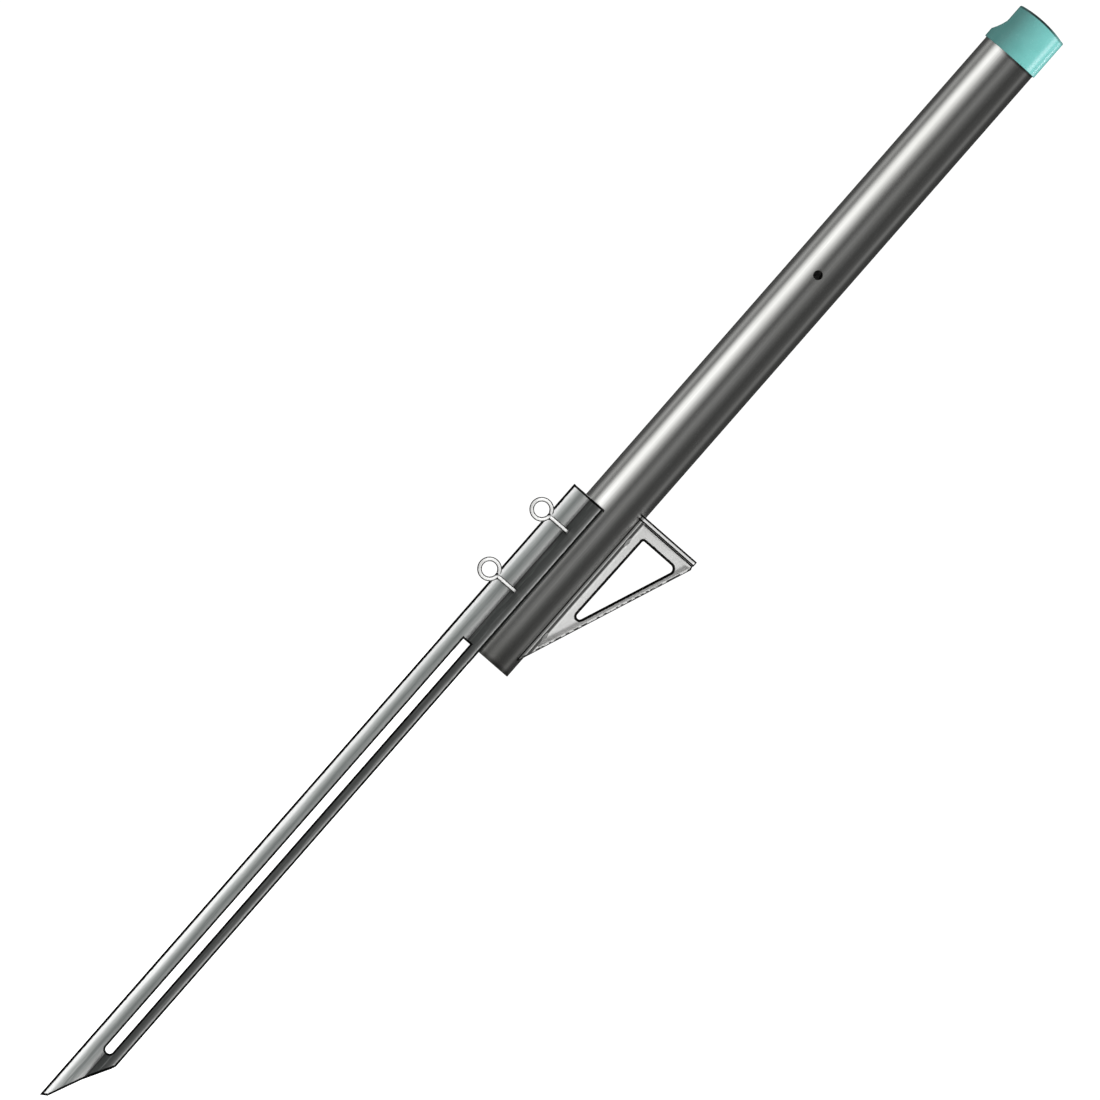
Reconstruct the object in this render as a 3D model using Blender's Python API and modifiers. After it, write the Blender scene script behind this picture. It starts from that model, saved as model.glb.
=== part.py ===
"""Sand spike: a rod tube with a foot step, bolted to a slotted angle spike.

Frame: +Z runs up the tube's axis. The origin is on that axis, in the plane of the
tube's lower end, which is the sand line once the spike is trodden in. The foot step
points along +X. The angle spike lies on the tube's -X, -Y side.
"""

import math

import bmesh
import bpy
from mathutils import Matrix, Vector

# ---------------------------------------------------------------- dimensions, mm
TUBE_OD = 50.8
TUBE_WALL = 1.65
TUBE_TOP = 700.6
TUBE_SIDES = 72
SIDE_HOLE_D = 8.0
SIDE_HOLE_Z = 421.0

CAP_OD = 53.8
CAP_BOTTOM = 662.8
CAP_TOP = 703.0
CAP_LIP = 2.1
NOTCH_R = 16.9
NOTCH_Z = 688.0
NOTCH_TUBE_EXTRA = 0.9

FLANGE_TURN = 40.0          # the seated flange faces this far from -Y towards -X
ANGLE_T = 3.175
LEG_SEATED = 19.4           # leg that lies on the tube
LEG_FREE = 28.2             # leg that stands out from it
ANGLE_FILLET = 1.0
ANGLE_CORNER_X = -20.0      # inner corner of the two legs
ANGLE_TOP = 157.6
TIP_Z = -516.2
POINT_AT_CORNER = 32.0      # the oblique cut's height over the tip, at the inner corner
POINT_SLOPE_X = 2.013
POINT_SLOPE_Y = 0.207
BLUNT_SLOPE = 0.61
SLOT_W = 7.5
SLOT_X = -19.2              # the slot's middle line
SLOT_LOW = -453.8
SLOT_HIGH = 0.1

BOLT_Z = (58.0, 123.7)
WIRE_D = 4.0
BOLT_HOLE_D = 4.6
BOLT_FROM_CORNER = 3.4443   # bolt axis to the free leg's inner face
EYE_SEEN_R = 8.3            # eye's centreline radius across the bolt
EYE_CENTRE_X = -44.6
EYE_NECK_R = 5.0
EYE_END_DEG = 17.0
BOLT_END = 34.0             # bolt's far end, from the tube's axis

SLEEVE_OD = 9.5
SLEEVE_BORE = 4.7
SLEEVE_NEAR = 19.6
SLEEVE_FAR = 22.4

NUT_PLATE_T = 2.0
NUT_PLATE_HALF_DEG = 14.0
NUT_PLATE_LOW = 44.0
NUT_PLATE_HIGH = 137.7
NUT_AF = 7.0
NUT_H = 3.2

STEP_TOP = 175.4
STEP_T = 4.6
STEP_W = 25.0
STEP_END_X = 81.6
WEB_T = 4.0
SADDLE_T = 2.2
SADDLE_HALF_DEG = 28.0
BRACE_LOW = (25.4, 21.1)    # outer line of the sloping edge, x and z
BRACE_HIGH = (82.1, 167.6)
BRACE_RIB_W = 9.0
BRACE_RIB_T = 2.6
WINDOW = ((36.1, 159.6, 1.2), (72.4, 159.6, 4.0), (35.0, 63.2, 2.6))
RIVET_D = 4.0
RIVET_HOLE_D = 4.6
RIVET_HEAD_D = 8.0
RIVET_DEG = 17.0
RIVET_Z = (46.0, 150.0)

GAP = 0.3                   # left between pieces that touch
MM = 0.001

R = TUBE_OD / 2
TURN = math.radians(FLANGE_TURN)
OUT = Vector((-math.sin(TURN), -math.cos(TURN), 0))     # out of the seated flange
ACROSS = Vector((math.cos(TURN), -math.sin(TURN), 0))   # along the seated flange
SEAT = R + GAP + ANGLE_T                                # its outer face, from the axis
CORNER_W = (ANGLE_CORNER_X - (OUT * SEAT).x) / ACROSS.x
BOLT_W = CORNER_W + BOLT_FROM_CORNER
BOLT_FOOT = OUT * SEAT + ACROSS * BOLT_W

for old in list(bpy.data.objects):
    bpy.data.objects.remove(old, do_unlink=True)

part = bpy.data.collections.new("sand_spike")
cutters = bpy.data.collections.new("cutters")
bpy.context.scene.collection.children.link(part)
bpy.context.scene.collection.children.link(cutters)


# ---------------------------------------------------------------- helpers
def material(name, colour, roughness, metallic):
    m = bpy.data.materials.new(name)
    m.use_nodes = True
    b = m.node_tree.nodes["Principled BSDF"]
    b.inputs["Base Color"].default_value = (*colour, 1)
    b.inputs["Roughness"].default_value = roughness
    b.inputs["Metallic"].default_value = metallic
    m.diffuse_color = (*colour, 1)
    return m


def smooth(mesh, angle=35):
    mesh.shade_smooth()
    mesh.set_sharp_from_angle(angle=math.radians(angle))


def add(name, bm, mat, matrix=None, collection=None):
    bmesh.ops.recalc_face_normals(bm, faces=bm.faces[:])
    mesh = bpy.data.meshes.new(name)
    bm.to_mesh(mesh)
    bm.free()
    if mat:
        mesh.materials.append(mat)
    smooth(mesh)
    o = bpy.data.objects.new(name, mesh)
    (collection or part).objects.link(o)
    if matrix:
        o.matrix_world = matrix
    return o


def guide(o):
    o.hide_render = True
    o.display_type = "WIRE"
    return o


def aimed(origin, direction):
    """A matrix that puts local +Z along direction, at origin, both in mm and world axes."""
    turn = Vector(direction).normalized().to_track_quat("Z", "Y").to_matrix().to_4x4()
    return Matrix.Translation(Vector(origin) * MM) @ turn


def rod(name, radius, low, high, matrix, mat=None, collection=None, sides=24):
    """A cylinder from low to high along its own Z."""
    bm = bmesh.new()
    bmesh.ops.create_cone(
        bm, cap_ends=True, segments=sides, radius1=radius * MM, radius2=radius * MM,
        depth=(high - low) * MM,
        matrix=Matrix.Translation((0, 0, (high + low) / 2 * MM)),
    )
    return add(name, bm, mat, matrix, collection)


def block(name, low, high, matrix=None, mat=None, collection=None):
    bm = bmesh.new()
    size = [(h - l) * MM for l, h in zip(low, high)]
    middle = [(h + l) / 2 * MM for l, h in zip(low, high)]
    bmesh.ops.create_cube(
        bm, size=1, matrix=Matrix.Translation(middle) @ Matrix.Diagonal((*size, 1))
    )
    return add(name, bm, mat, matrix, collection)


def combine(o, other, operation):
    m = o.modifiers.new(other.name, "BOOLEAN")
    m.operation = operation
    m.solver = "EXACT"
    m.object = other
    guide(other)


def cut(o, *tools):
    for t in tools:
        combine(o, t, "DIFFERENCE")


def turned(name, profile, mat, matrix=None, steps=48, collection=None):
    """Turns a closed (radius, z) profile, which runs down its outer side, about its own Z."""
    mesh = bpy.data.meshes.new(name)
    n = len(profile)
    mesh.from_pydata(
        [(r * MM, 0, z * MM) for r, z in profile], [(i, (i + 1) % n) for i in range(n)], []
    )
    mesh.materials.append(mat)
    o = bpy.data.objects.new(name, mesh)
    (collection or part).objects.link(o)
    if matrix:
        o.matrix_world = matrix
    s = o.modifiers.new("turn", "SCREW")
    s.axis = "Z"
    s.steps = steps
    s.render_steps = steps
    s.use_merge_vertices = True
    s.merge_threshold = 0.00001
    s.use_smooth_shade = True
    return o


def solid_of_revolution(name, profile, mat, matrix=None, steps=24):
    """The same for a profile whose first and last points are on the axis."""
    mesh = bpy.data.meshes.new(name)
    n = len(profile)
    mesh.from_pydata(
        [(r * MM, 0, z * MM) for r, z in profile], [(i, i + 1) for i in range(n - 1)], []
    )
    mesh.materials.append(mat)
    o = bpy.data.objects.new(name, mesh)
    part.objects.link(o)
    if matrix:
        o.matrix_world = matrix
    s = o.modifiers.new("turn", "SCREW")
    s.axis = "Z"
    s.steps = steps
    s.render_steps = steps
    s.use_merge_vertices = True
    s.merge_threshold = 0.00001
    s.use_smooth_shade = True
    return o


def extruded(name, outlines, low, high, mat, matrix=None, collection=None):
    """A flat outline in its own XY, from low to high along its own Z, as a closed mesh."""
    curve = bpy.data.curves.new(name, "CURVE")
    curve.dimensions = "2D"
    curve.fill_mode = "BOTH"
    curve.extrude = (high - low) / 2 * MM
    for points in outlines:
        s = curve.splines.new("POLY")
        s.points.add(len(points) - 1)
        for p, (x, y) in zip(s.points, points):
            p.co = (x * MM, y * MM, 0, 1)
        s.use_cyclic_u = True
    tmp = bpy.data.objects.new(name + "_outline", curve)
    bpy.context.scene.collection.objects.link(tmp)
    dg = bpy.context.evaluated_depsgraph_get()
    mesh = bpy.data.meshes.new_from_object(tmp.evaluated_get(dg))
    bm = bmesh.new()
    bm.from_mesh(mesh)
    bmesh.ops.remove_doubles(bm, verts=bm.verts[:], dist=0.000005)
    bmesh.ops.translate(bm, verts=bm.verts[:], vec=(0, 0, (high + low) / 2 * MM))
    bpy.data.objects.remove(tmp, do_unlink=True)
    bpy.data.meshes.remove(mesh)
    return add(name, bm, mat, matrix, collection)


def wire(name, points, diameter, mat, resolution=4):
    curve = bpy.data.curves.new(name, "CURVE")
    curve.dimensions = "3D"
    curve.bevel_depth = diameter / 2 * MM
    curve.bevel_resolution = resolution
    curve.use_fill_caps = True
    s = curve.splines.new("POLY")
    s.points.add(len(points) - 1)
    for p, q in zip(s.points, points):
        p.co = (*(Vector(q) * MM), 1)
    curve.materials.append(mat)
    o = bpy.data.objects.new(name, curve)
    part.objects.link(o)
    return o


def rounded(corners, steps=5):
    """A closed outline from (x, y, radius) corners, each rounded by its radius."""
    out = []
    n = len(corners)
    for i, (x, y, r) in enumerate(corners):
        p = Vector((x, y))
        a = (Vector(corners[i - 1][:2]) - p).normalized()
        b = (Vector(corners[(i + 1) % n][:2]) - p).normalized()
        half = a.angle(b) / 2
        if r <= 0:
            out.append((x, y))
            continue
        centre = p + (a + b).normalized() * (r / math.sin(half))
        u = (p + a * (r / math.tan(half))) - centre
        v = (p + b * (r / math.tan(half))) - centre
        sweep = math.atan2(u.x * v.y - u.y * v.x, u.dot(v))
        for k in range(steps + 1):
            c, s = math.cos(sweep * k / steps), math.sin(sweep * k / steps)
            q = centre + Vector((u.x * c - u.y * s, u.x * s + u.y * c))
            out.append((q.x, q.y))
    return out


def u_shape(x, y, r, top, steps=24):
    """A U outline: half a circle of radius r below (x, y), with straight sides up to top."""
    out = [(x + r, top), (x - r, top)]
    for i in range(steps + 1):
        t = math.pi + math.pi * i / steps
        out.append((x + r * math.cos(t), y + r * math.sin(t)))
    return out


# local X, Y and Z of an upright outline run along world X, Z and -Y
upright = Matrix(((1, 0, 0, 0), (0, 0, -1, 0), (0, 1, 0, 0), (0, 0, 0, 1)))

# ---------------------------------------------------------------- materials
brushed_tube = material("brushed_tube", (0.52, 0.52, 0.51), 0.24, 1.0)
mill_angle = material("mill_angle", (0.42, 0.44, 0.44), 0.38, 1.0)
seafoam_vinyl = material("seafoam_vinyl", (0.14, 0.45, 0.43), 0.34, 0.0)
cast_grey = material("cast_grey", (0.58, 0.58, 0.57), 0.55, 0.6)
bright_zinc = material("bright_zinc", (0.78, 0.78, 0.76), 0.25, 1.0)
clear_vinyl = material("clear_vinyl", (0.55, 0.56, 0.52), 0.45, 0.0)
rivet_alloy = material("rivet_alloy", (0.62, 0.62, 0.60), 0.35, 1.0)

# ---------------------------------------------------------------- rod tube
bore = R - TUBE_WALL
rod_tube = turned(
    "rod_tube",
    [(R - 0.3, TUBE_TOP), (R, TUBE_TOP - 0.3), (R, 0.3), (R - 0.3, 0), (bore, 0), (bore, TUBE_TOP)],
    brushed_tube,
    steps=TUBE_SIDES,
)
# local X, Y and Z of a notch outline run along world Y, Z and X
sideways = Matrix(((0, 0, 1, 0), (1, 0, 0, 0), (0, 1, 0, 0), (0, 0, 0, 1)))
notch_tube = extruded(
    "notch_tube", [u_shape(0, NOTCH_Z, NOTCH_R + NOTCH_TUBE_EXTRA, NOTCH_Z + 40)], -45, -5,
    brushed_tube, sideways, cutters,
)
side_hole = rod(
    "side_hole", SIDE_HOLE_D / 2, -40, 40, aimed((0, 0, SIDE_HOLE_Z), (0, -1, 0)), collection=cutters
)
cut(rod_tube, notch_tube, side_hole)

# ---------------------------------------------------------------- mouth cap
cap_r = CAP_OD / 2
top_cap = turned(
    "top_cap",
    [
        (cap_r - 0.9, CAP_TOP), (cap_r - 0.3, CAP_TOP - 0.35), (cap_r, CAP_TOP - 1.1),
        (cap_r, CAP_BOTTOM + 0.5), (cap_r - 0.4, CAP_BOTTOM), (R + GAP, CAP_BOTTOM),
        (R + GAP, CAP_TOP - CAP_LIP), (bore - 0.1, CAP_TOP - CAP_LIP),
        (bore - 0.1, CAP_TOP - 0.7), (bore + 0.4, CAP_TOP),
    ],
    seafoam_vinyl,
    steps=TUBE_SIDES,
)
notch_cap = extruded(
    "notch_cap", [u_shape(0, NOTCH_Z, NOTCH_R, NOTCH_Z + 40)], -45, -5,
    seafoam_vinyl, sideways, cutters,
)
cut(top_cap, notch_cap)

# ---------------------------------------------------------------- angle spike
# Its outline is drawn in (across, out) with the seated leg's outer face at out = 0.
legs = rounded(
    [
        (CORNER_W, 0, ANGLE_FILLET),
        (CORNER_W - ANGLE_T + LEG_SEATED, 0, 0.5),
        (CORNER_W - ANGLE_T + LEG_SEATED, -ANGLE_T, 0.5),
        (CORNER_W - ANGLE_T, -ANGLE_T, 0.6),
        (CORNER_W - ANGLE_T, LEG_FREE - ANGLE_T, 0.5),
        (CORNER_W, LEG_FREE - ANGLE_T, 0.5),
    ],
    steps=4,
)
seat_frame = Matrix.Translation(OUT * SEAT * MM) @ Matrix(
    ((ACROSS.x, OUT.x, 0, 0), (ACROSS.y, OUT.y, 0, 0), (0, 0, -1, 0), (0, 0, 0, 1))
)
spike_angle = extruded(
    "spike_angle", [legs], -ANGLE_TOP, -TIP_Z + 8, mill_angle, matrix=seat_frame
)
corner = OUT * SEAT + ACROSS * CORNER_W
slot = extruded(
    "slot", [u_shape(SLOT_X, SLOT_LOW + SLOT_W / 2, SLOT_W / 2, SLOT_HIGH)], -20, 70,
    mill_angle, upright, cutters,
)
point_normal = Vector((POINT_SLOPE_X, POINT_SLOPE_Y, -1)).normalized()
point_cut = block(
    "point_cut", (-150, -150, 0), (150, 150, 150),
    aimed((corner.x, corner.y, TIP_Z + POINT_AT_CORNER), point_normal), collection=cutters,
)
free_edge_x = (corner + OUT * (LEG_FREE - ANGLE_T) - ACROSS * ANGLE_T).x
blunt_cut = block(
    "blunt_cut", (-60, -60, 0), (60, 60, 60),
    aimed((free_edge_x, corner.y, TIP_Z), (BLUNT_SLOPE, 0, -1)), collection=cutters,
)
cut(spike_angle, slot, point_cut, blunt_cut)

# ---------------------------------------------------------------- eye bolts and what is on them
eye_out = (EYE_CENTRE_X - BOLT_FOOT.x) / OUT.x       # eye's centre, out from the flange
stretch = 1 / math.sin(TURN)                         # the eye is an oval this much longer than wide


def eye_bolt(name, z):
    neck = math.sqrt(EYE_SEEN_R**2 + 2 * EYE_SEEN_R * EYE_NECK_R)
    meet = math.atan2(-EYE_NECK_R, neck)
    seen = []
    first, last, n = math.radians(EYE_END_DEG), 2 * math.pi + meet, 44
    for i in range(n + 1):
        t = first + (last - first) * i / n
        seen.append((EYE_SEEN_R * math.cos(t), EYE_SEEN_R * math.sin(t)))
    first, last, n = math.pi + meet, math.pi / 2, 7
    for i in range(1, n + 1):
        t = first + (last - first) * i / n
        seen.append((neck + EYE_NECK_R * math.cos(t), -EYE_NECK_R + EYE_NECK_R * math.sin(t)))
    flat = [(eye_out - x * stretch, y) for x, y in seen]
    flat += [(0, 0), (-SEAT - BOLT_END, 0)]
    points = [Vector((0, y, s)) for s, y in flat]
    o = wire(name, points, WIRE_D, bright_zinc)
    # own +Z is out along the bolt, own +Y is up
    o.matrix_world = Matrix.Translation(Vector((BOLT_FOOT.x, BOLT_FOOT.y, z)) * MM) @ Matrix(
        ((-ACROSS.x, 0, OUT.x, 0), (-ACROSS.y, 0, OUT.y, 0), (0, 1, 0, 0), (0, 0, 0, 1))
    )
    return o


far = -OUT * math.sqrt(R**2 - BOLT_W**2) + ACROSS * BOLT_W
far_deg = math.degrees(math.atan2(far.y, far.x))
names = ("lower", "upper")
for level, z in zip(names, BOLT_Z):
    eye_bolt("eye_bolt_" + level, z)
    line = aimed((BOLT_FOOT.x, BOLT_FOOT.y, z), OUT)
    hole = rod("bolt_hole_" + level, BOLT_HOLE_D / 2, -90, 30, line, collection=cutters)
    cut(rod_tube, hole)
    cut(spike_angle, hole)
    turned(
        "butt_sleeve_" + level,
        [
            (SLEEVE_OD / 2, -SEAT + SLEEVE_NEAR), (SLEEVE_OD / 2, -SEAT - SLEEVE_FAR),
            (SLEEVE_BORE / 2, -SEAT - SLEEVE_FAR), (SLEEVE_BORE / 2, -SEAT + SLEEVE_NEAR),
        ],
        clear_vinyl, line, steps=24,
    )

# ---------------------------------------------------------------- nut plate behind the tube
inner, outer = R + GAP, R + GAP + NUT_PLATE_T
arc = []
for i in range(13):
    t = math.radians(far_deg - NUT_PLATE_HALF_DEG + 2 * NUT_PLATE_HALF_DEG * i / 12)
    arc.append((outer * math.cos(t), outer * math.sin(t)))
for i in range(12, -1, -1):
    t = math.radians(far_deg - NUT_PLATE_HALF_DEG + 2 * NUT_PLATE_HALF_DEG * i / 12)
    arc.append((inner * math.cos(t), inner * math.sin(t)))
nut_plate = extruded("nut_plate", [arc], NUT_PLATE_LOW, NUT_PLATE_HIGH, bright_zinc)
for level, z in zip(names, BOLT_Z):
    cut(nut_plate, bpy.data.objects["bolt_hole_" + level])
    # a flat spot for the nut, milled square to the bolt
    spot = -outer + 0.55
    cut(nut_plate, rod("nut_spot_" + level, NUT_AF * 0.68, -SEAT + spot - 8, -SEAT + spot,
                       aimed((BOLT_FOOT.x, BOLT_FOOT.y, z), OUT), collection=cutters))
    bm = bmesh.new()
    bmesh.ops.create_cone(
        bm, cap_ends=True, segments=6, radius1=NUT_AF / math.sqrt(3) * MM,
        radius2=NUT_AF / math.sqrt(3) * MM, depth=NUT_H * MM,
        matrix=Matrix.Translation((0, 0, (-SEAT + spot - GAP - NUT_H / 2) * MM)),
    )
    nut = add("hex_nut_" + level, bm, bright_zinc, aimed((BOLT_FOOT.x, BOLT_FOOT.y, z), OUT))
    cut(nut, bpy.data.objects["bolt_hole_" + level])

# ---------------------------------------------------------------- foot bracket
# The web is drawn in (x, z), at the middle of the bracket's width.
run = (Vector(BRACE_HIGH) - Vector(BRACE_LOW)).normalized()
step_under = STEP_TOP - STEP_T
web_outline = [
    (R - 2, STEP_TOP - 1), (STEP_END_X - 1.5, STEP_TOP - 1), (STEP_END_X, step_under - 2.6),
    BRACE_HIGH, BRACE_LOW, (R - 2, BRACE_LOW[1] - 2 * run.y / run.x),
]
web_outline = rounded([(x, z, 1.6 if i in (2,) else 0) for i, (x, z) in enumerate(web_outline)])
foot_bracket = extruded(
    "foot_bracket", [web_outline], -WEB_T / 2, WEB_T / 2, cast_grey, matrix=upright
)
step_plate = extruded(
    "step_plate",
    [rounded([(R - 8, -STEP_W / 2, 0), (STEP_END_X, -STEP_W / 2, 4), (STEP_END_X, STEP_W / 2, 4),
              (R - 8, STEP_W / 2, 0)])],
    step_under, STEP_TOP, cast_grey, collection=cutters,
)
arc = []
inner, outer = R - 1.0, R + GAP + SADDLE_T
for i in range(17):
    t = math.radians(-SADDLE_HALF_DEG + 2 * SADDLE_HALF_DEG * i / 16)
    arc.append((outer * math.cos(t), outer * math.sin(t)))
for i in range(16, -1, -1):
    t = math.radians(-SADDLE_HALF_DEG + 2 * SADDLE_HALF_DEG * i / 16)
    arc.append((inner * math.cos(t), inner * math.sin(t)))
saddle = extruded("saddle", [arc], BRACE_LOW[1] - 6, STEP_TOP, cast_grey, collection=cutters)
length = (Vector(BRACE_HIGH) - Vector(BRACE_LOW)).length
rib = block(
    "brace_rib", (0, -BRACE_RIB_W / 2, 0), (length - 0.6, BRACE_RIB_W / 2, BRACE_RIB_T),
    Matrix.Translation((BRACE_LOW[0] * MM, 0, BRACE_LOW[1] * MM))
    @ Matrix(((run.x, 0, -run.y, 0), (0, 1, 0, 0), (run.y, 0, run.x, 0), (0, 0, 0, 1))),
    collection=cutters,
)
for piece in (step_plate, saddle, rib):
    combine(foot_bracket, piece, "UNION")
window = extruded(
    "window", [rounded(WINDOW, steps=6)], -30, 30, cast_grey, matrix=upright, collection=cutters
)
tube_room = rod("tube_room", R + GAP, -20, 200, Matrix.Identity(4), collection=cutters, sides=TUBE_SIDES)
below_brace = block(
    "below_brace", (-60, -40, -60), (200, 40, 0),
    Matrix.Translation((BRACE_LOW[0] * MM, 0, BRACE_LOW[1] * MM))
    @ Matrix(((run.x, 0, -run.y, 0), (0, 1, 0, 0), (run.y, 0, run.x, 0), (0, 0, 0, 1))),
    collection=cutters,
)
cut(foot_bracket, window, tube_room, below_brace)

# ---------------------------------------------------------------- rivets through saddle and tube
skin = GAP + SADDLE_T
for side, deg in (("front", -RIVET_DEG), ("back", RIVET_DEG)):
    for level, z in zip(names, RIVET_Z):
        way = Vector((math.cos(math.radians(deg)), math.sin(math.radians(deg)), 0))
        line = aimed((0, 0, z), way)
        hole = rod(f"rivet_hole_{side}_{level}", RIVET_HOLE_D / 2, 15, 40, line,
                   collection=cutters, sides=20)
        cut(rod_tube, hole)
        cut(foot_bracket, hole)
        seat = R + skin + GAP
        back = bore - GAP
        solid_of_revolution(
            f"bracket_rivet_{side}_{level}",
            [
                (0, seat + 1.35), (RIVET_HEAD_D * 0.22, seat + 1.2),
                (RIVET_HEAD_D * 0.40, seat + 0.7), (RIVET_HEAD_D / 2, seat),
                (RIVET_D / 2, seat), (RIVET_D / 2, back - 0.1), (RIVET_D * 0.66, back - 0.4),
                (RIVET_D * 0.62, back - 1.5), (RIVET_D * 0.3, back - 2.2), (0, back - 2.2),
            ],
            rivet_alloy, line, steps=20,
        )
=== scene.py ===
import math

import bmesh
import bpy
import numpy as np
from mathutils import Matrix, Vector


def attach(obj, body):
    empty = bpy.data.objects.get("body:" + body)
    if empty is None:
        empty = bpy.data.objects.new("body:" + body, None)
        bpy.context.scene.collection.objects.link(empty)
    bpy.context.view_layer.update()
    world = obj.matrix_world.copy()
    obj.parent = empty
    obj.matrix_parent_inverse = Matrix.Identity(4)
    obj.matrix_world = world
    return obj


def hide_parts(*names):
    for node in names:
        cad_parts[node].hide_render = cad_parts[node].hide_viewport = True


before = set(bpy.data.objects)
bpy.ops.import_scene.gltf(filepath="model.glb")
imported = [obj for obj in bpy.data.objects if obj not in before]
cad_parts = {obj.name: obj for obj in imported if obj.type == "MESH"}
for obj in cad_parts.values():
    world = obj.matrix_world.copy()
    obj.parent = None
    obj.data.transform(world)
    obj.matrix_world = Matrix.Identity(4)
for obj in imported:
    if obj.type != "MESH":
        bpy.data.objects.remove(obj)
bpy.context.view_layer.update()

MM = 0.001

# ---------------------------------------------------------------- sizes, mm
TUBE_OD, TUBE_WALL, TUBE_TOP = 50.8, 1.65, 700.6
SIDE_HOLE_D, SIDE_HOLE_Z = 8.0, 421.0
CAP_OD, CAP_BOTTOM, CAP_TOP, CAP_LIP = 53.8, 662.8, 703.0, 2.1
NOTCH_R, NOTCH_Z, NOTCH_TUBE_EXTRA = 16.9, 688.0, 0.9
FLANGE_TURN = 40.0
ANGLE_T, LEG_SEATED, LEG_FREE, ANGLE_FILLET = 3.175, 19.4, 28.2, 1.0
ANGLE_CORNER_X, ANGLE_TOP, TIP_Z = -20.0, 157.6, -516.2
POINT_AT_CORNER, POINT_SLOPE_X, POINT_SLOPE_Y, BLUNT_SLOPE = 32.0, 2.013, 0.207, 0.61
SLOT_W, SLOT_SEEN_W, SLOT_X, SLOT_LOW, SLOT_HIGH = 7.5, 7.1, -19.2, -453.8, 0.1
BOLT_Z = (58.0, 123.7)
WIRE_D, BOLT_HOLE_D, BOLT_FROM_CORNER = 4.0, 4.6, 3.4443
EYE_SEEN_R, EYE_CENTRE_X, EYE_NECK_R, EYE_END_DEG, BOLT_END = 8.3, -44.6, 5.0, 17.0, 34.0
SLEEVE_OD, SLEEVE_BORE, SLEEVE_NEAR, SLEEVE_FAR = 9.5, 4.7, 19.6, 22.4
NUT_PLATE_T, NUT_PLATE_HALF_DEG, NUT_PLATE_LOW, NUT_PLATE_HIGH = 2.0, 14.0, 44.0, 137.7
NUT_AF, NUT_H = 7.0, 3.2
THREAD_PITCH = 0.7
TUBE_TOP_SEEN = 697.9       # the crowned cap hides the rest
CROWN, CROWN_MOST = 0.0045, 2.6
STEP_TOP, STEP_T, STEP_W, STEP_END_X = 175.4, 4.6, 25.0, 81.6
WEB_T, SADDLE_T, SADDLE_HALF_DEG = 4.0, 2.2, 28.0
BRACE_LOW, BRACE_HIGH = (25.4, 21.1), (82.1, 167.6)
BRACE_RIB_W, BRACE_RIB_T = 9.0, 2.6
WINDOW = ((36.1, 159.6, 1.2), (72.4, 159.6, 4.0), (35.0, 63.2, 2.6))
RIVET_D, RIVET_HOLE_D, RIVET_HEAD_D, RIVET_DEG, RIVET_Z = 4.0, 4.6, 8.0, 17.0, (46.0, 150.0)
GAP = 0.3

R = TUBE_OD / 2
BORE = R - TUBE_WALL
TURN = math.radians(FLANGE_TURN)
OUT = Vector((-math.sin(TURN), -math.cos(TURN), 0))
ACROSS = Vector((math.cos(TURN), -math.sin(TURN), 0))
SEAT = R + GAP + ANGLE_T
CORNER_W = (ANGLE_CORNER_X - (OUT * SEAT).x) / ACROSS.x
BOLT_W = CORNER_W + BOLT_FROM_CORNER
BOLT_FOOT = OUT * SEAT + ACROSS * BOLT_W
UPRIGHT = Matrix(((1, 0, 0, 0), (0, 0, -1, 0), (0, 1, 0, 0), (0, 0, 0, 1)))
SIDEWAYS = Matrix(((0, 0, 1, 0), (1, 0, 0, 0), (0, 1, 0, 0), (0, 0, 0, 1)))
SEAT_FRAME = Matrix.Translation(OUT * SEAT * MM) @ Matrix(
    ((ACROSS.x, OUT.x, 0, 0), (ACROSS.y, OUT.y, 0, 0), (0, 0, -1, 0), (0, 0, 0, 1))
)

scene = bpy.context.scene
work = bpy.data.collections.new("sand_spike_look")
scene.collection.children.link(work)


# ---------------------------------------------------------------- mesh helpers
def aimed(origin, direction):
    turn = Vector(direction).normalized().to_track_quat("Z", "Y").to_matrix().to_4x4()
    return Matrix.Translation(Vector(origin) * MM) @ turn


def made(name, bm, matrix=None):
    """A mesh object from bm, in the row frame, its matrix taken into its vertices."""
    if matrix is not None:
        bm.transform(matrix)
    bmesh.ops.recalc_face_normals(bm, faces=bm.faces[:])
    if all(len(e.link_faces) == 2 for e in bm.edges) and bm.calc_volume(signed=True) < 0:
        bmesh.ops.reverse_faces(bm, faces=bm.faces[:])
    mesh = bpy.data.meshes.new(name)
    bm.to_mesh(mesh)
    bm.free()
    o = bpy.data.objects.new(name, mesh)
    work.objects.link(o)
    return o


def lathe(name, profile, segments, matrix=None, closed=True):
    """Turns (radius, z) points about +Z; closed=False is for a profile that starts and ends on the axis."""
    bm = bmesh.new()
    rings = []
    for r, z in profile:
        if r < 1e-6:
            rings.append([bm.verts.new((0, 0, z * MM))])
        else:
            rings.append([
                bm.verts.new((r * MM * math.cos(2 * math.pi * i / segments),
                              r * MM * math.sin(2 * math.pi * i / segments), z * MM))
                for i in range(segments)
            ])
    n = len(rings)
    for k in range(n if closed else n - 1):
        a, b = rings[k], rings[(k + 1) % n]
        for i in range(segments):
            j = (i + 1) % segments
            corners = [a[i % len(a)], a[j % len(a)], b[j % len(b)], b[i % len(b)]]
            seen = []
            for v in corners:
                if v not in seen:
                    seen.append(v)
            if len(seen) > 2:
                bm.faces.new(seen)
    return made(name, bm, matrix)


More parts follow.
